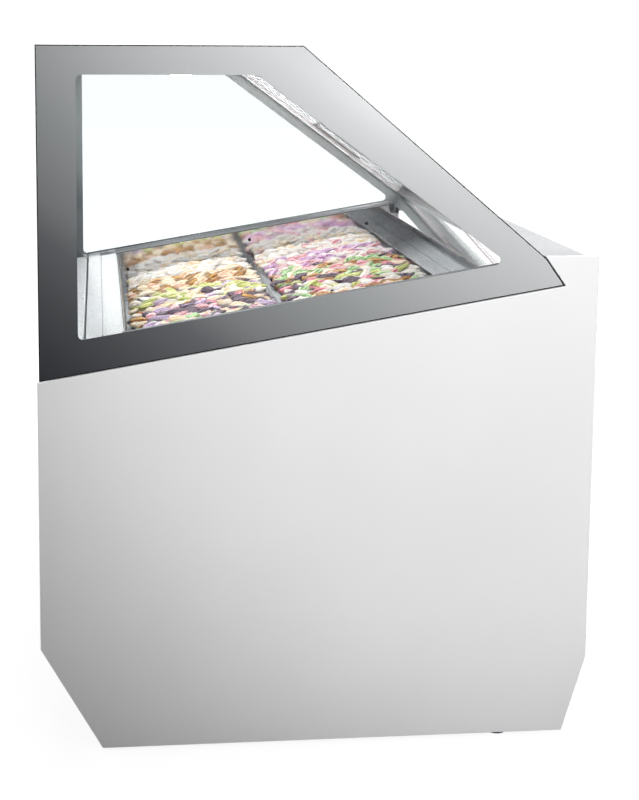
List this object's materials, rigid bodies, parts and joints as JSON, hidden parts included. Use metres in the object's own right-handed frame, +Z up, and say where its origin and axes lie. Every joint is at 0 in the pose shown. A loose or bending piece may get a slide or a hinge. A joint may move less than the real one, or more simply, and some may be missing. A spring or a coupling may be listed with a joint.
{
  "type": "ice cream display freezer",
  "caption": "Counter freezer with a sloping glass case, an open well of lift-out pans, sliding rear doors, a steel worktop and white end panels, with its cooling unit below.",
  "frame": {"origin": "middle of the footprint, on the floor that the feet stand on", "axes": "+X along the cabinet, +Y to the server's side with the doors and the worktop, +Z up"},
  "size_m": [1.17, 1.067, 1.35],
  "materials": {
    "white_panel": "white powder coat, satin",
    "white_trim": "white moulded trim, semi-gloss",
    "clear_glass": "tempered glass, clear, with a grey enamelled border",
    "dark_glass": "dark grey enamelled glass, opaque",
    "clear_acrylic": "clear acrylic sheet",
    "anodised_alloy": "satin anodised extrusion",
    "polished_steel": "bright polished stainless steel",
    "satin_steel": "satin brushed stainless steel",
    "galvanised_steel": "galvanised sheet",
    "foamed_tank": "sheet over rigid foam",
    "coil_fins": "plain fins",
    "black_plastic": "moulded, fine texture",
    "grey_plastic": "moulded, fine texture",
    "grey_enamel": "light grey powder coat",
    "dark_enamel": "dark grey powder coat",
    "black_enamel": "black baked enamel",
    "opal_diffuser": "opal acrylic light cover"
  },
  "bodies": {
    "cabinet": {"side_panel_left": "white_panel", "side_panel_right": "white_panel", "front_panel": "white_panel", "rear_panel": "white_panel", "light_canopy": "white_panel", "front_ledge": "white_trim", "front_sill": "white_trim", "side_glass_left": "clear_glass", "side_glass_right": "clear_glass", "front_glass": "clear_glass", "top_panel": "dark_glass", "door_track_lower": "anodised_alloy", "door_track_upper": "anodised_alloy", "door_end_frame_left": "anodised_alloy", "door_end_frame_right": "anodised_alloy", "tank_liner": "polished_steel", "rear_lip": "polished_steel", "worktop": "satin_steel", "pan_rail_front": "satin_steel", "pan_rail_center": "satin_steel", "pan_rail_rear": "satin_steel", "chassis": "galvanised_steel", "tank_shell": "foamed_tank", "evaporator_coil": "coil_fins", "condenser_coil": "coil_fins", "foot_front_left": "black_plastic", "foot_front_right": "black_plastic", "foot_rear_left": "black_plastic", "foot_rear_right": "black_plastic", "evaporator_fan_shroud": "black_plastic", "condenser_fan_shroud": "black_plastic", "cable_gland": "black_plastic", "control_housing": "grey_plastic", "rear_grille": "grey_enamel", "front_kick": "dark_enamel", "compressor": "black_enamel", "lamp_diffuser": "opal_diffuser"},
    "door_left": {"door_pane_left": "clear_acrylic", "door_pull_left": "anodised_alloy"},
    "door_right": {"door_pane_right": "clear_acrylic", "door_pull_right": "anodised_alloy"},
    "pan_front_1": {"pan_front_1": "polished_steel"},
    "pan_front_2": {"pan_front_2": "polished_steel"},
    "pan_front_3": {"pan_front_3": "polished_steel"},
    "pan_front_4": {"pan_front_4": "polished_steel"},
    "pan_front_5": {"pan_front_5": "polished_steel"},
    "pan_front_6": {"pan_front_6": "polished_steel"},
    "pan_rear_1": {"pan_rear_1": "polished_steel"},
    "pan_rear_2": {"pan_rear_2": "polished_steel"},
    "pan_rear_3": {"pan_rear_3": "polished_steel"},
    "pan_rear_4": {"pan_rear_4": "polished_steel"},
    "pan_rear_5": {"pan_rear_5": "polished_steel"},
    "pan_rear_6": {"pan_rear_6": "polished_steel"},
    "drip_tray": {"drip_tray": "grey_plastic"},
    "evaporator_rotor": {"evaporator_fan_rotor": "grey_plastic"},
    "condenser_rotor": {"condenser_fan_rotor": "grey_plastic"},
    "light_rocker": {"light_switch": "black_plastic"},
    "power_rocker": {"power_switch": "black_plastic"},
    "set_key": {"set_button": "black_plastic"},
    "defrost_key": {"defrost_button": "black_plastic"}
  },
  "joints": [
    {"name": "door_left_slide", "type": "slide", "parent": "cabinet", "child": "door_left", "axis": [1, 0, 0], "range_m": [0, 0.48]},
    {"name": "door_right_slide", "type": "slide", "parent": "cabinet", "child": "door_right", "axis": [1, 0, 0], "range_m": [-0.48, 0]},
    {"name": "pan_front_1_lift", "type": "slide", "parent": "cabinet", "child": "pan_front_1", "axis": [0, -0.1692, 0.9856], "range_m": [0, 0.12]},
    {"name": "pan_front_2_lift", "type": "slide", "parent": "cabinet", "child": "pan_front_2", "axis": [0, -0.1692, 0.9856], "range_m": [0, 0.12]},
    {"name": "pan_front_3_lift", "type": "slide", "parent": "cabinet", "child": "pan_front_3", "axis": [0, -0.1692, 0.9856], "range_m": [0, 0.12]},
    {"name": "pan_front_4_lift", "type": "slide", "parent": "cabinet", "child": "pan_front_4", "axis": [0, -0.1692, 0.9856], "range_m": [0, 0.12]},
    {"name": "pan_front_5_lift", "type": "slide", "parent": "cabinet", "child": "pan_front_5", "axis": [0, -0.1692, 0.9856], "range_m": [0, 0.12]},
    {"name": "pan_front_6_lift", "type": "slide", "parent": "cabinet", "child": "pan_front_6", "axis": [0, -0.1692, 0.9856], "range_m": [0, 0.12]},
    {"name": "pan_rear_1_lift", "type": "slide", "parent": "cabinet", "child": "pan_rear_1", "axis": [0, -0.1692, 0.9856], "range_m": [0, 0.12]},
    {"name": "pan_rear_2_lift", "type": "slide", "parent": "cabinet", "child": "pan_rear_2", "axis": [0, -0.1692, 0.9856], "range_m": [0, 0.12]},
    {"name": "pan_rear_3_lift", "type": "slide", "parent": "cabinet", "child": "pan_rear_3", "axis": [0, -0.1692, 0.9856], "range_m": [0, 0.12]},
    {"name": "pan_rear_4_lift", "type": "slide", "parent": "cabinet", "child": "pan_rear_4", "axis": [0, -0.1692, 0.9856], "range_m": [0, 0.12]},
    {"name": "pan_rear_5_lift", "type": "slide", "parent": "cabinet", "child": "pan_rear_5", "axis": [0, -0.1692, 0.9856], "range_m": [0, 0.12]},
    {"name": "pan_rear_6_lift", "type": "slide", "parent": "cabinet", "child": "pan_rear_6", "axis": [0, -0.1692, 0.9856], "range_m": [0, 0.12]},
    {"name": "drip_tray_slide", "type": "slide", "parent": "cabinet", "child": "drip_tray", "axis": [0, 1, 0], "range_m": [0, 0.25]},
    {"name": "evaporator_fan_spin", "type": "hinge", "parent": "cabinet", "child": "evaporator_rotor", "pos_m": [0, 0.20279, 0.64804], "axis": [0, 0.9856, 0.1692], "continuous": true},
    {"name": "condenser_fan_spin", "type": "hinge", "parent": "cabinet", "child": "condenser_rotor", "pos_m": [-0.24, 0.3937, 0.2573], "axis": [0, 1, 0], "continuous": true},
    {"name": "light_switch_rock", "type": "hinge", "parent": "cabinet", "child": "light_rocker", "pos_m": [0.25, 0.5185, 0.86466], "axis": [1, 0, 0], "range_deg": [-7, 7]},
    {"name": "power_switch_rock", "type": "hinge", "parent": "cabinet", "child": "power_rocker", "pos_m": [0.285, 0.5185, 0.86466], "axis": [1, 0, 0], "range_deg": [-7, 7]},
    {"name": "set_button_press", "type": "slide", "parent": "cabinet", "child": "set_key", "axis": [0, -1, 0], "range_m": [0, 0.0015], "stiffness_N_per_m": 400, "springref_m": -0.0005},
    {"name": "defrost_button_press", "type": "slide", "parent": "cabinet", "child": "defrost_key", "axis": [0, -1, 0], "range_m": [0, 0.0015], "stiffness_N_per_m": 400, "springref_m": -0.0005}
  ]
}
